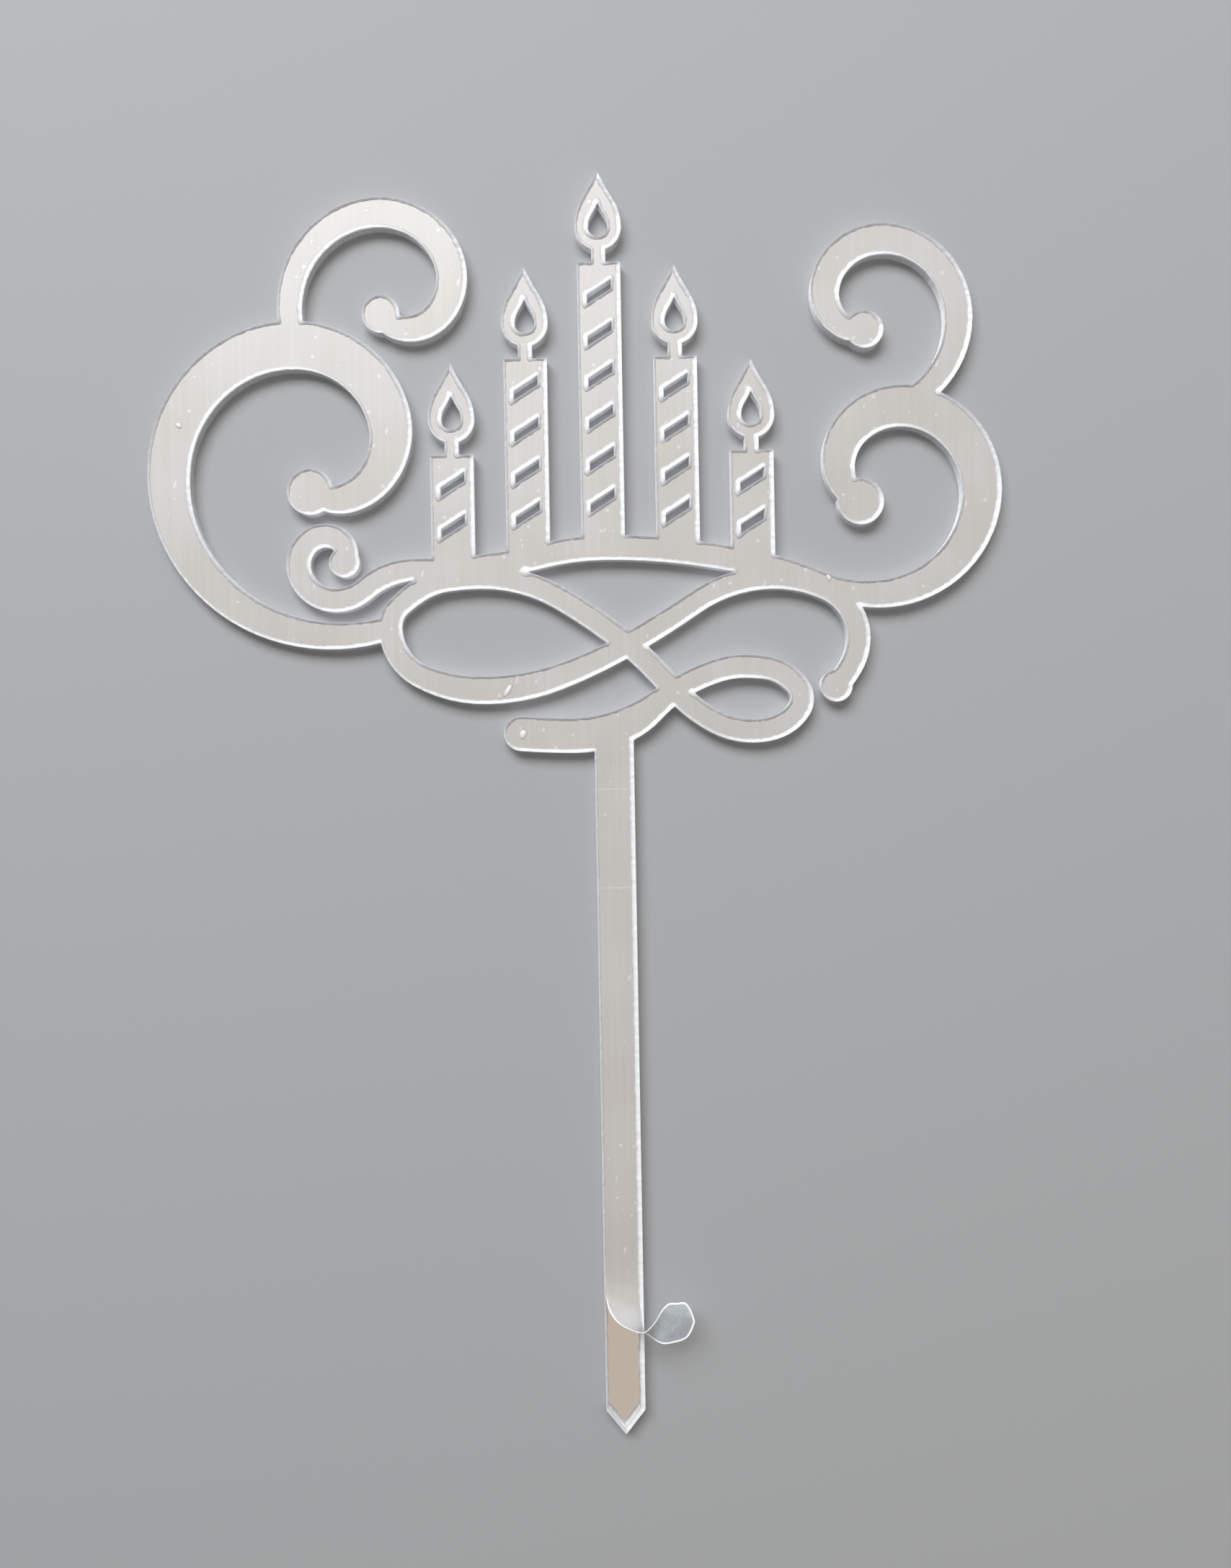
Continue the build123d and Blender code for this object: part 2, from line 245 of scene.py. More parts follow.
def thinner_copy(node, name, gap):
    """A copy of a flat node's mesh, merged, with each of its two faces moved in by a gap."""
    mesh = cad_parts[node].data.copy()
    mesh.name = name
    merge(mesh)
    points = points_of(mesh)
    low, high = points[:, 1].min(), points[:, 1].max()
    points[:, 1] = np.clip(points[:, 1], low + gap, high - gap)
    mesh.vertices.foreach_set("co", points.ravel())
    mesh.shade_flat()
    piece = bpy.data.objects.new(name, mesh)
    bpy.context.scene.collection.objects.link(piece)
    return piece


silver, tree, shader = finish_of("silvering", {"Metallic": 1.0, "Base Color": SILVER})
cloud = noise(tree, on_object(tree), SILVER_CLOUDS)
feed(tree, shader, {
    "Base Color": tint(tree, cloud, SILVER_DULL, SILVER),
    "Roughness": spread(tree, cloud, *SILVER_ROUGHNESS),
})
silvering = thinner_copy("mirror_coat", "silvering", HAIR)
dress(silvering, silver)
plate.data.materials.append(silver)
towards = np.empty(len(plate.data.polygons) * 3)
plate.data.polygons.foreach_get("normal", towards)
backwards = towards.reshape(-1, 3)[:, 1]
is_wall = np.abs(backwards) < BACK_TURN
plate.data.polygons.foreach_set("material_index", np.where(backwards > BACK_TURN, 2, is_wall))
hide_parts("mirror_coat")
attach(silvering, "topper")


# Back lacquer: a coat of grey paint, rolled over the metal to keep it from scratches. It dries with a
# slight orange peel and picks up dust.
LACQUER_DARK = (0.27, 0.275, 0.285, 1)
LACQUER_LIGHT = (0.34, 0.345, 0.355, 1)
LACQUER_ROUGHNESS = (0.42, 0.68)
LACQUER_PATCHES = 70.0
ORANGE_PEEL = 1400.0
ORANGE_PEEL_DEPTH = 0.03 * MM
DUST = (0.78, 0.78, 0.77, 1)
SCUFF_LEAN = -0.3

# Dust and scuffs: dots in the cells of a flat Voronoi pattern, kept in some of the cells only. A squeeze
# under one draws them out along the sheet's length, at a slight lean, into short scuffs.
speck_inputs = {"Cells per metre": 300.0, "Size": 0.06, "Share": 0.3, "Squeeze": 1.0}
tree, given, give = effect("specks", speck_inputs, "Speck")
leant = add(tree, "Mapping", {"Vector": on_object(tree), "Rotation": (0, SCUFF_LEAN, 0)}).outputs[0]
leant = add(tree, "SeparateXYZ", {0: leant}).outputs
drawn = maths(tree, "MULTIPLY", leant["Z"], given["Squeeze"])
flat = add(tree, "CombineXYZ", {"X": leant["X"], "Y": drawn}).outputs[0]
sockets = {"Vector": flat, "Scale": given["Cells per metre"]}
cells = add(tree, "TexVoronoi", sockets, voronoi_dimensions="2D").outputs
draw = add(tree, "SeparateColor", {"Color": cells["Color"]}).outputs
near = maths(tree, "LESS_THAN", cells["Distance"], maths(tree, "MULTIPLY", draw[0], given["Size"]))
kept = maths(tree, "LESS_THAN", draw[1], given["Share"])
give(maths(tree, "MULTIPLY", near, kept))

lacquer, tree, shader = finish_of("grey_lacquer", {"Base Color": LACQUER_LIGHT, "Roughness": 0.55})
peel = noise(tree, on_object(tree), ORANGE_PEEL, detail=3.0)
patch = noise(tree, on_object(tree), LACQUER_PATCHES, detail=4.0)
speck = place_effect(tree, "specks", Cells_per_metre=420.0, Size=0.07, Share=0.3)
paint = tint(tree, patch, LACQUER_DARK, LACQUER_LIGHT)
feed(tree, shader, {
    "Base Color": tint(tree, speck, paint, DUST),
    "Roughness": spread(tree, patch, *LACQUER_ROUGHNESS),
    "Normal": emboss(tree, peel, ORANGE_PEEL_DEPTH),
})
dress(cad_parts["back_lacquer"], lacquer)


# Melted lip: the beam leaves a low frosted ridge of melted acrylic along every cut, highest at the cut
# itself and beaded by the pulses. It holds the film's edge and shows as a line round the shape, wider
# below and on the right, where the beam's draught blew the melt, and thin on the left and on top. Its
# colour is painted light: white with a painted glow below and on the right, the sides away from the
# window, and greyer, as painted shade, on the left and on top.
LIP_STEP = 0.22 * MM
LIP_WIDTH = 0.52 * MM
LIP_HEIGHT = 0.26 * MM
LIP_INSETS = np.array([1.02, 1.00, 0.62, 0.22, 0.02, -0.06, -0.06, 0.30])
LIP_HEIGHTS = np.array([-0.08, 0.34, 0.52, 0.90, 1.00, 0.72, -0.30, -0.40])
LIP_MELT = np.array([0.0, 0.0, 0.75, 1.0, 1.0, 1.0, 1.0, 1.0])
LIP_SMOOTHING = 0.35 * MM
LIP_LEAST_TURN = 0.55
LIP_BLOWN = 0.35
LIP_SCANT = 0.35
BEAD_REACH = 0.1375 * MM
BEAD_WIDENS = 0.06
BEAD_RAISES = 0.14
BEAD_LIMIT = 2
PALE_LEFT = 0.45
WHITE_GAIN = 0.9
WHITE_LIMIT = 0.6
FROST = (0.91, 0.91, 0.92, 1)
FROST_SHADE = (0.80, 0.80, 0.83, 1)
FROST_ROUGHNESS = (0.28, 0.5)
PAINTED_SHADE_MELT = (0.60, 0.597, 0.64, 1)
PAINTED_SHADE_MELT_LINE = (0.46, 0.457, 0.51, 1)
THIN_MELT = (0.68, 0.66, 0.645, 1)
ON_FACE = 1e-6
DECIMALS = 7
LEAST_STEPS = 12
LIP_SEED = 11


def cut_loops(node, depth):
    """The closed outlines of a node's flat face at that depth, each as an (n, 2) array of x and z.
    An outline edge is one that a single triangle of the face uses; Blender's own conversion from a
    mesh to a curve strings these edges into loops."""
    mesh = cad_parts[node].data
    corners, joined = np.unique(np.round(points_of(mesh), DECIMALS), axis=0, return_inverse=True)
    mesh.calc_loop_triangles()
    faces = np.empty(len(mesh.loop_triangles) * 3, np.int32)
    mesh.loop_triangles.foreach_get("vertices", faces)
    faces = joined.ravel()[faces].reshape(-1, 3)
    faces = faces[(np.abs(corners[faces, 1] - depth) < ON_FACE).all(axis=1)]
    edges = np.sort(faces[:, [0, 1, 1, 2, 2, 0]].reshape(-1, 2), axis=1)
    edges, uses = np.unique(edges, axis=0, return_counts=True)
    wire = bpy.data.meshes.new("cut_line")
    wire.from_pydata(corners.tolist(), edges[uses == 1].tolist(), [])
    line = bpy.data.objects.new("cut_line", wire)
    bpy.context.scene.collection.objects.link(line)
    bpy.ops.object.select_all(action="DESELECT")
    bpy.context.view_layer.objects.active = line
    line.select_set(True)
    bpy.ops.object.convert(target="CURVE")
    loops = []
    for spline in line.data.splines:
        points = np.empty(len(spline.points) * 4)
        spline.points.foreach_get("co", points)
        loops.append(points.reshape(-1, 4)[:, [0, 2]])
    bpy.data.objects.remove(line)
    return loops


def even_steps(loop, step):
    """A closed line walked in equal steps: points read off the line at even distances along it."""
    closed = np.vstack([loop, loop[:1]])
    walked = np.concatenate([[0], np.cumsum(np.hypot(*np.diff(closed, axis=0).T))])
    stops = np.linspace(0, walked[-1], max(int(walked[-1] / step), LEAST_STEPS), endpoint=False)
    return np.stack([np.interp(stops, walked, closed[:, i]) for i in (0, 1)], axis=1)


def soften(values, reach):
    """Values round a closed loop blurred by a bell curve whose spread is reach samples: each
    frequency is scaled by the bell curve's own transform."""
    waves = np.fft.rfftfreq(len(values))
    bell = np.exp(-2 * (np.pi * waves * reach) ** 2)
    bell = bell.reshape(-1, *[1] * (values.ndim - 1))
    return np.fft.irfft(np.fft.rfft(values, axis=0) * bell, len(values), axis=0)


def skin(grids, name):
    """One mesh of closed tubes. Each grid is an (n, m, 3) array, n places along a path and m points
    round a profile, and its quads join neighbours in both directions, the last to the first."""
    points, quads, start = [], [], 0
    for grid in grids:
        index = start + np.arange(grid.shape[0] * grid.shape[1]).reshape(grid.shape[:2])
        along = np.roll(index, -1, axis=0)
        around = np.roll(index, -1, axis=1)
        both = np.roll(along, -1, axis=1)
        quads.append(np.stack([index, along, both, around], axis=-1).reshape(-1, 4))
        points.append(grid.reshape(-1, 3))
        start += index.size
    return solid(name, np.vstack(points), np.vstack(quads))


def solid(name, points, quads):
    """A smooth mesh object of these points and quads, linked to the scene."""
    mesh = bpy.data.meshes.new(name)
    mesh.from_pydata(points.tolist(), [], quads.tolist())
    mesh.shade_smooth()
    piece = bpy.data.objects.new(name, mesh)
    bpy.context.scene.collection.objects.link(piece)
    return piece


def mark(piece, label, values):
    """Keeps one number for each point of a piece, for its material to read."""
    kept = piece.data.attributes.new(label, "FLOAT", "POINT")
    kept.data.foreach_set("value", values.astype(np.float32))


def marked(tree, label):
    """The numbers that a piece was marked with, in its material."""
    return add(tree, "Attribute", attribute_name=label).outputs["Fac"]


def lip_grid(loop, inwards, front, chance):
    """The lip along one loop. At each step the profile's points stand at an inset towards the plate
    and a height above its face; the beads swell both by a blurred random wave along the loop. Where
    the loop turns sharply its blurred heading gets short, and the inset grows by as much, to a limit.
    The melt was blown down and to the right, so the inset is wider on the right, and scant on the left
    and on top. The share of white, which paints light on the cuts that face away from the window and
    shade on the others, falls with how far the cut faces up, and grows with how far it faces right."""
    line = even_steps(loop, LIP_STEP)
    heading = np.roll(line, -1, axis=0) - np.roll(line, 1, axis=0)
    heading = soften(heading / np.hypot(*heading.T)[:, None], LIP_SMOOTHING / LIP_STEP)
    length = np.hypot(*heading.T)[:, None]
    heading /= length
    across = np.stack([-heading[:, 1], heading[:, 0]], axis=1) * inwards
    right, up = -across.T
    beads = soften(chance.normal(size=(len(line), 2)), BEAD_REACH / LIP_STEP)
    beads = np.clip(beads / beads.std(axis=0), -BEAD_LIMIT, BEAD_LIMIT)
    blown = LIP_BLOWN * np.clip(right, 0, 1) - LIP_SCANT * np.clip(np.maximum(up, -right), 0, 1)
    inset = LIP_WIDTH * LIP_INSETS * (1 + BEAD_WIDENS * beads[:, :1]) / np.clip(length, LIP_LEAST_TURN, 1)
    inset = inset * (1 + blown)[:, None]
    height = LIP_HEIGHT * LIP_HEIGHTS * (1 + BEAD_RAISES * beads[:, 1:])
    flat = line[:, None, :] + across[:, None, :] * inset[:, :, None]
    # Painted light: the lip's share of white, high below and on the right, low on the left and on top.
    painted_lit_side = PALE_LEFT + WHITE_GAIN * (np.clip(right + PALE_LEFT, 0, WHITE_LIMIT) - np.clip(up, 0, 1))
    painted_lit_side = np.repeat(np.clip(painted_lit_side, 0, 1), inset.shape[1])
    thick = np.tile(LIP_MELT, len(line))
    return np.stack([flat[:, :, 0], front - height, flat[:, :, 1]], axis=-1), painted_lit_side, thick


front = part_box("acrylic_plate")[0].y
loops = cut_loops("acrylic_plate", front)
turned = [np.sum(p[:, 0] * np.roll(p[:, 1], -1) - np.roll(p[:, 0], -1) * p[:, 1]) for p in loops]
outer = int(np.argmax(np.abs(turned)))
chance = np.random.default_rng(LIP_SEED)
sides = [np.sign(area) * (1 if i == outer else -1) for i, area in enumerate(turned)]
grids, painted_lit_side, thick = zip(*[lip_grid(p, s, front, chance) for p, s in zip(loops, sides)])
lip = skin(grids, "melted_lip")
mark(lip, "painted_lit_side", np.concatenate(painted_lit_side))
mark(lip, "thick", np.concatenate(thick))

# The lip's finish paints light: white with a painted glow from its emission on the sides marked as lit,
# and a greyer painted shade on the others.
frost, tree, shader = finish_of("frosted_melt", {
    "Base Color": FROST,
    "Coat Weight": 0.2,
    "Emission Strength": 0.2,
})
line = place_effect(tree, "laser_lines", Lines_per_metre=2200.0)
white, melted = marked(tree, "painted_lit_side"), marked(tree, "thick")
melt = tint(tree, white, tint(tree, line, PAINTED_SHADE_MELT_LINE, PAINTED_SHADE_MELT), tint(tree, line, FROST_SHADE, FROST))
feed(tree, shader, {
    "Base Color": tint(tree, melted, THIN_MELT, melt),
    "Roughness": spread(tree, line, *FROST_ROUGHNESS),
    "Emission Color": tint(tree, maths(tree, "MULTIPLY", white, melted), BLACK, FROST),
})
dress(lip, frost)
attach(lip, "topper")


# Protective film on the face: milky polyethylene, blown into a sheet and stuck on with a weak
# adhesive. It has fine drawn lines, cloudy patches, dust, scuffs, and two creases on the stake. Part of
# the light goes through to the mirror and comes back as a broad sheen, which the metal share stands for.
FILM_WARM = (0.60, 0.558, 0.522, 1)
FILM_COOL = (0.67, 0.64, 0.615, 1)
FILM_SPECK_AND_HIGHLIGHT = (0.92, 0.92, 0.92, 1)
FILM_SHEEN = 0.075
FILM_COAT = {"Coat Weight": 0.15, "Coat Roughness": 0.35}
FILM_ROUGHNESS = (0.38, 0.41)
FILM_LINE_DEPTH = 0.002 * MM
ALONG_SHEET = (1, 1, 0.02)
CLOUD_SHARE = 0.72
MID_TONES = (0.36, 0.64)
SPECK_STRENGTH = 0.45
CREASE_STRENGTH = 0.3
CREASE_HEIGHTS = (89.5 * MM, 75.8 * MM)
CREASE_HALF_WIDTH = 0.09 * MM

# The film's drawn lines: noise drawn out along the sheet's length, with broad clouds under it.
line_inputs = {"Lines per metre": 1700.0, "Clouds per metre": 55.0}
tree, given, give = effect("drawn_lines", line_inputs, "Line")
drawn = add(tree, "VectorMath", {0: on_object(tree), 1: ALONG_SHEET}, operation="MULTIPLY").outputs[0]
lines = noise(tree, drawn, given["Lines per metre"], detail=3.0)
clouds = noise(tree, on_object(tree), given["Clouds per metre"], detail=3.0)
mixed = add(tree, "Mix", {"Factor": CLOUD_SHARE, "A": lines, "B": clouds}).outputs[0]
give(ramp(tree, mixed, *MID_TONES))

milky, tree, shader = finish_of("milky_film", {
    "Base Color": FILM_WARM,
    "Metallic": FILM_SHEEN,
    **FILM_COAT,
})
line = place_effect(tree, "drawn_lines")
dust = place_effect(tree, "specks", Cells_per_metre=420.0, Size=0.11, Share=0.4)
scuff = place_effect(tree, "specks", Cells_per_metre=300.0, Size=0.06, Share=0.6, Squeeze=0.35)
speck = spread(tree, maths(tree, "MAXIMUM", dust, scuff), 0.0, SPECK_STRENGTH)
level = add(tree, "SeparateXYZ", {0: on_object(tree)}).outputs["Z"]
creases = [maths(tree, "COMPARE", level, height, CREASE_HALF_WIDTH) for height in CREASE_HEIGHTS]
crease = spread(tree, maths(tree, "MAXIMUM", *creases), 0.0, CREASE_STRENGTH)
# Paler film: dust, scuffs and creases, and on the blisters a painted highlight that grows with their rise.
pale = maths(tree, "MAXIMUM", maths(tree, "MAXIMUM", crease, speck), marked(tree, "painted_highlight_rise"))
feed(tree, shader, {
    "Base Color": tint(tree, pale, tint(tree, line, FILM_WARM, FILM_COOL), FILM_SPECK_AND_HIGHLIGHT),
    "Roughness": spread(tree, line, *FILM_ROUGHNESS),
    "Normal": emboss(tree, line, FILM_LINE_DEPTH),
})
dress(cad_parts["front_film"], milky)


# Air bubbles: where the film has come away from the plate it stands up in small flat blisters, painted
# paler the higher they rise, as a painted highlight. Each has its place, its radius and how far it is
# drawn out and leans.
BUBBLES = (
    (-12.6, 97.3, 0.55, 1.15, 0.0),
    (-14.6, 103.4, 0.42, 2.2, -0.65),
    (-59.6, 141.0, 0.42, 1.1, 0.4),
    (30.2, 118.4, 0.4, 1.3, 0.3),
)
BUBBLE_HEIGHT = 0.12 * MM
BUBBLE_THICKNESS = 1.3 * BUBBLE_HEIGHT
BUBBLE_WOBBLE = 0.12
BUBBLE_POINTS = 15


def blister(x, z, radius, length, lean, front):
    """A low dome on the film: a square grid pressed into a round one, drawn out upwards and leant, as high
    as one minus the squared distance from its middle. A shallow copy underneath meets it at its rim."""
    u, v = np.meshgrid(*[np.linspace(-1, 1, BUBBLE_POINTS)] * 2)
    right, up = u * np.sqrt(1 - v ** 2 / 2), v * np.sqrt(1 - u ** 2 / 2)
    rise = 1 - right ** 2 - up ** 2
    reach = radius * MM * (1 + BUBBLE_WOBBLE * np.sin(2 * np.arctan2(up, right) + x))
    sideways = reach * (right * np.cos(lean) - up * length * np.sin(lean))
    upwards = reach * (right * np.sin(lean) + up * length * np.cos(lean))
    place = np.stack([x * MM + sideways, front - BUBBLE_HEIGHT * rise, z * MM + upwards], axis=-1)
    below = place + rise[..., None] * [0, BUBBLE_THICKNESS, 0]
    index = np.arange(rise.size).reshape(rise.shape)
    quads = np.stack([index[:-1, :-1], index[:-1, 1:], index[1:, 1:], index[1:, :-1]], axis=-1)
    quads = quads.reshape(-1, 4)
    quads = np.vstack([quads, quads[:, ::-1] + index.size])
    return np.vstack([place.reshape(-1, 3), below.reshape(-1, 3)]), quads


film_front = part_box("front_film")[0].y
domes = [blister(*place, film_front) for place in BUBBLES]
dome_quads = [quads + i * len(points) for i, (points, quads) in enumerate(domes)]
bubbles = solid("film_bubbles", np.vstack([points for points, quads in domes]), np.vstack(dome_quads))
merge(bubbles.data)
risen = (film_front - points_of(bubbles.data)[:, 1]) / BUBBLE_HEIGHT
# The rise of each blister point, kept to paint its highlight.
mark(bubbles, "painted_highlight_rise", np.clip(risen, 0, 1))
dress(bubbles, milky)
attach(bubbles, "film")


# Peeled end of the film: the strip over the stake's point, pulled off from the left. It turns up about
# its right edge, twists over a narrow neck and ends in a free pointed tab, see-through off the mirror.
# Each station has the strip's right edge and then its left one, in millimetres.
PEEL_STATIONS = np.array([
    [2.56, -0.79, 22.00, -2.56, -0.79, 22.00],
    [2.56, -0.79, 20.80, -2.56, -0.82, 20.80],
    [2.56, -0.79, 19.60, -2.53, -0.98, 19.60],
    [2.56, -0.79, 18.40, -2.38, -1.45, 18.50],
    [2.56, -0.79, 17.20, -1.95, -2.35, 17.60],
    [2.56, -0.80, 15.90, -0.88, -3.75, 16.75],
    [2.58, -0.92, 14.75, 0.78, -5.00, 16.30],
    [2.70, -1.30, 14.25, 2.48, -5.55, 16.10],
    [3.25, -2.00, 14.20, 3.42, -5.35, 16.60],
    [4.25, -2.80, 13.80, 4.55, -4.30, 17.55],
    [5.45, -3.30, 13.50, 5.68, -3.50, 18.80],
    [5.72, -3.32, 13.50, 5.95, -3.46, 19.02],
    [6.85, -3.40, 13.72, 7.15, -3.30, 19.10],
    [8.00, -3.40, 14.05, 8.42, -3.20, 19.05],
    [8.32, -3.40, 14.22, 8.68, -3.20, 18.82],
    [8.95, -3.38, 14.90, 9.15, -3.20, 18.05],
    [9.62, -3.30, 16.35, 9.64, -3.25, 16.60],
])
STRIP_ROWS = 190
STRIP_SPAN = np.concatenate([[0, 0.012], np.linspace(0.04, 0.96, 13), [0.988, 1]])
STRIP_THICKNESS = 0.05
EDGE_THICKNESS = 0.11
EDGE_REACH = 0.03
EDGE_ROUNDING = 0.3
CRINKLE_HEIGHT = 0.04
CRINKLE_ACROSS = 9
CRINKLE_ALONG = 26
CRINKLE_RAMP = (-0.6, 2.0)
NECK_SIDE = 2.65


def through(stations, rows):
    """A natural cubic spline through the stations, read at even shares of its length. Its bends at
    the stations come from the usual equations: each span's end slopes match its neighbour's."""
    lengths = np.linalg.norm(np.diff(stations, axis=0), axis=1)
    knots = np.concatenate([[0], np.cumsum(lengths)])
    slopes = np.diff(stations, axis=0) / lengths[:, None]
    equations = np.diag(2 * (lengths[:-1] + lengths[1:]))
    equations += np.diag(lengths[1:-1], 1) + np.diag(lengths[1:-1], -1)
    bends = np.zeros_like(stations)
    bends[1:-1] = np.linalg.solve(equations, 6 * np.diff(slopes, axis=0))
    places = np.linspace(0, knots[-1], rows)
    left = np.clip(np.searchsorted(knots, places, "right") - 1, 0, len(lengths) - 1)
    length = lengths[left][:, None]
    after = (places - knots[left])[:, None]
    before = length - after
    cubic = (bends[left] * before ** 3 + bends[left + 1] * after ** 3) / (6 * length)
    start = (stations[left] / length - bends[left] * length / 6) * before
    end = (stations[left + 1] / length - bends[left + 1] * length / 6) * after
    return cubic + start + end


def sleeve(outside, inside, name):
    """A closed sleeve round a strip: its outer sheet, its inner one the other way, and a cap of quads
    across each end. Each sheet is an (n, m, 3) array, n rows along the strip and m points across."""
    points = np.concatenate([outside, inside[:, ::-1]], axis=1)
    index = np.arange(points.shape[0] * points.shape[1]).reshape(points.shape[:2])
    around = np.roll(index, -1, axis=1)
    sides = np.stack([index[:-1], index[1:], around[1:], around[:-1]], axis=-1).reshape(-1, 4)
    over, under = np.hsplit(index[[0, -1]], 2)
    under = under[:, ::-1]
    caps = np.stack([over[:, :-1], over[:, 1:], under[:, 1:], under[:, :-1]], axis=-1)
    return solid(name, points.reshape(-1, 3), np.vstack([sides, caps[0], caps[1][:, ::-1]]))


near_edge, far_edge = np.hsplit(through(PEEL_STATIONS, STRIP_ROWS), 2)
middle_sheet = near_edge[:, None] + (far_edge - near_edge)[:, None] * STRIP_SPAN[None, :, None]
square = np.cross(np.gradient(middle_sheet, axis=1), np.gradient(middle_sheet, axis=0))
square /= np.linalg.norm(square, axis=-1, keepdims=True)
rim = np.minimum(STRIP_SPAN, 1 - STRIP_SPAN)
thick = STRIP_THICKNESS + (EDGE_THICKNESS - STRIP_THICKNESS) * np.exp(-(rim / EDGE_REACH) ** 2)
thick[[0, -1]] *= EDGE_ROUNDING
along = np.linspace(0, 1, STRIP_ROWS)
crinkle = CRINKLE_HEIGHT * np.sin(CRINKLE_ACROSS * STRIP_SPAN[None, :] + CRINKLE_ALONG * along[:, None])
crinkle = crinkle * np.clip(np.linspace(*CRINKLE_RAMP, STRIP_ROWS), 0, 1)[:, None]
sheet = middle_sheet + square * crinkle[..., None]
half = square * thick[None, :, None] / 2
ribbon = sleeve((sheet + half) * MM, (sheet - half) * MM, "peeled_film")
free_edge = np.vstack([far_edge, near_edge[near_edge[:, 0] > NECK_SIDE], middle_sheet[-1]])
from_cut = np.linalg.norm(middle_sheet[:, :, None] - free_edge, axis=-1).min(axis=-1)
mark(ribbon, "from_cut", np.concatenate([from_cut, from_cut[:, ::-1]], axis=1).ravel())
mark(ribbon, "along", np.repeat(along, 2 * len(STRIP_SPAN)))

# The strip's finish goes by how far along it lies, from the stuck film to the free tab, and by how far
# in from its cut edge, in millimetres. Where it lifts it is painted near white, painted light for the
# light that comes through the thin film, and its cut edge is painted white with a painted glow.
LOOSE_COOL = (0.52, 0.57, 0.62, 1)
LOOSE_PALE = (0.68, 0.72, 0.76, 1)
PAINTED_EDGE_GLOW = (0.95, 0.96, 0.97, 1)
PAINTED_LIT_THROUGH = (0.93, 0.93, 0.93, 1)
PARTS_OVER = (0.12, 0.25)
LIFTS_OVER = (0.2, 0.42)
FREE_OVER = (0.4, 0.6)
EDGE_OVER = (0.30, 0.12)
MOTTLE_SCALE = 420.0
VEIL = (0.18, 0.72)
loose, tree, shader = finish_of("loose_film", {
    "Base Color": LOOSE_COOL,
    "Emission Strength": 0.3,
    **FILM_COAT,
})
passed = marked(tree, "along")
lifting, freed = ramp(tree, passed, *LIFTS_OVER), ramp(tree, passed, *FREE_OVER)
near_cut = ramp(tree, marked(tree, "from_cut"), *EDGE_OVER)
cut_edge = maths(tree, "MULTIPLY", near_cut, ramp(tree, passed, *PARTS_OVER))
line = place_effect(tree, "drawn_lines")
patch = ramp(tree, noise(tree, on_object(tree), MOTTLE_SCALE, detail=4.0), *MID_TONES)
stuck = tint(tree, lifting, tint(tree, line, FILM_WARM, FILM_COOL), PAINTED_LIT_THROUGH)
body = tint(tree, freed, stuck, tint(tree, patch, LOOSE_COOL, LOOSE_PALE))
thinned = add(tree, "Mix", {"Factor": freed, "A": 1.0, "B": spread(tree, patch, *VEIL)}).outputs[0]
# Painted light: the lifting part is tinted near white, and the cut edge is white with an emission glow.
feed(tree, shader, {
    "Base Color": tint(tree, cut_edge, body, PAINTED_EDGE_GLOW),
    "Roughness": spread(tree, line, *FILM_ROUGHNESS),
    "Alpha": maths(tree, "MAXIMUM", thinned, cut_edge),
    "Emission Color": tint(tree, cut_edge, BLACK, PAINTED_EDGE_GLOW),
    "Normal": emboss(tree, line, FILM_LINE_DEPTH),
})
dress(ribbon, loose)
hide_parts("film_curl", "film_tab")
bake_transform(ribbon)


# Table top: the pale matt board that the topper lies on, face up. It shows from the front only, so
# that the topper's back can be looked at.
BOARD_COLOUR = (0.455, 0.455, 0.46, 1)
BOARD_REACH = 3.0
BOARD_GAP = 0.02 * MM
MIDDLE_HEIGHT = 0.09


def panel(name, reach, middle, order):
    """An upright square sheet that reaches so far from its middle to each side. The order of its four
    corners, 1 or -1, says whether it faces the front or the back."""
    corners = np.array([[-1, 0, -1], [1, 0, -1], [1, 0, 1], [-1, 0, 1]]) * reach + middle
    return solid(name, corners, np.arange(4)[None, ::order])


board = panel("table_top", BOARD_REACH, (0, cad_high.y + BOARD_GAP, MIDDLE_HEIGHT), 1)
board_finish, tree, shader = finish_of("pale_board", {"Base Color": BOARD_COLOUR, "Roughness": 0.75})
behind = add(tree, "NewGeometry").outputs["Backfacing"]
clear_view = add(tree, "BsdfTransparent").outputs[0]
one_way = add(tree, "MixShader", {0: behind, 1: shader.outputs[0], 2: clear_view}).outputs[0]
tree.links.new(one_way, tree.nodes["Material Output"].inputs["Surface"])
dress(board, board_finish)
board.visible_shadow = False
board.visible_diffuse = False


# Studio light: a wide cool window light from the upper left, a weak warm one from the right and a soft
# one behind for the back, in an even pale room, with a beige card that the bare mirror shows. Each lamp
# has its place from the part's middle, its width and height, its watts and its colour.
ROOM = (0.465, 0.46, 0.455, 1)
ROOM_LIGHT = (0.235, 0.23, 0.225, 1)
LAMPS = {
    "window": ((-0.225, -0.684, 0.555), (0.75, 0.45), 7.6, (0.94, 0.975, 1.0)),
    "right_fill": ((0.60, -0.55, 0.0), (0.5, 0.5), 0.5, (1.0, 0.94, 0.87)),
    "back_light": ((-0.25, 0.60, 0.40), (0.6, 0.6), 5.6, (1.0, 1.0, 1.0)),
}
CARD_COLOUR = (0.56, 0.48, 0.41, 1)
CARD_REACH = 0.16
CARD_PLACE = (0, -0.26, -0.11)
world = bpy.data.worlds.new("room")
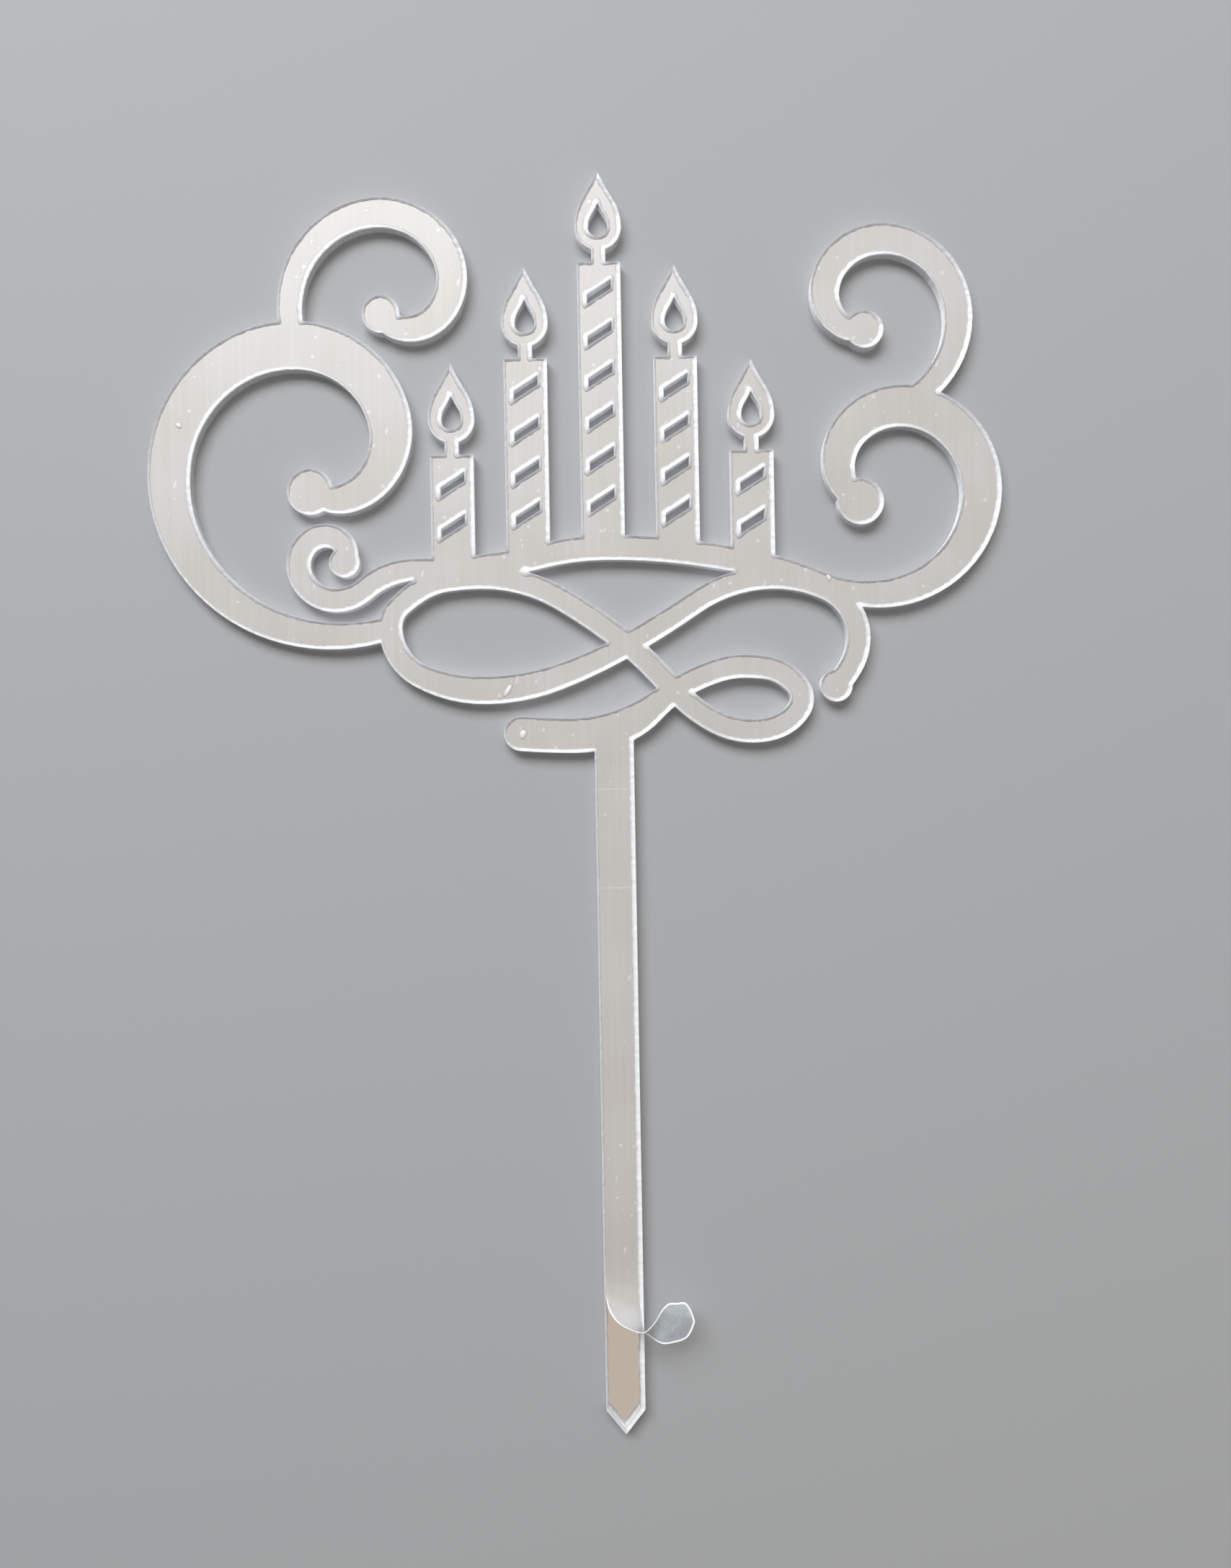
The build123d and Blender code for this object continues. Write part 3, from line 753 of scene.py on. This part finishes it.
world.use_nodes = True
tree = world.node_tree
rays = add(tree, "LightPath").outputs
seen = maths(tree, "MAXIMUM", rays["Is Camera Ray"], rays["Is Glossy Ray"])
seen = maths(tree, "MAXIMUM", seen, rays["Is Transmission Ray"])
tree.links.new(tint(tree, seen, ROOM_LIGHT, ROOM), tree.nodes["Background"].inputs["Color"])
bpy.context.scene.world = world
for label, (spot, size, power, colour) in LAMPS.items():
    lamp = bpy.data.lights.new(label, "AREA")
    lamp.shape = "RECTANGLE"
    lamp.size, lamp.size_y = size
    lamp.energy = power
    lamp.color = colour
    holder = bpy.data.objects.new(label, lamp)
    holder.location = Vector(spot) + Vector((0, 0, MIDDLE_HEIGHT))
    holder.rotation_euler = (-Vector(spot)).to_track_quat("-Z", "Y").to_euler()
    bpy.context.scene.collection.objects.link(holder)

card = panel("reflector_card", CARD_REACH, CARD_PLACE, -1)
card_finish, tree, shader = finish_of("beige_card", {
    "Base Color": BLACK,
    "Emission Color": CARD_COLOUR,
    "Emission Strength": 1.0,
})
dress(card, card_finish)
card.visible_camera = False
card.visible_diffuse = False
card.visible_shadow = False


# Camera: square on to the face, as the photograph is, turned by the same degree.
VIEW_CENTRE = (0.1 * MM, 90.2 * MM)
VIEW_DISTANCE = 171.1 * MM
VIEW_LENS = 28.3
VIEW_SENSOR = 36.0
VIEW_TURN = 0.0178
NEAREST_SEEN = 0.01
camera = bpy.data.objects.new("camera", bpy.data.cameras.new("camera"))
camera.data.sensor_width = VIEW_SENSOR
camera.data.lens = VIEW_LENS
camera.data.clip_start = NEAREST_SEEN
upright = Vector((VIEW_TURN, 0, 1)).normalized()
sideways = Vector((0, 1, 0)).cross(upright)
turn = Matrix((sideways, upright, (0, -1, 0))).transposed().to_4x4()
turn.translation = (VIEW_CENTRE[0], front - VIEW_DISTANCE, VIEW_CENTRE[1])
camera.matrix_world = turn
bpy.context.scene.collection.objects.link(camera)
bpy.context.scene.camera = camera
bpy.context.scene.view_settings.view_transform = "Standard"
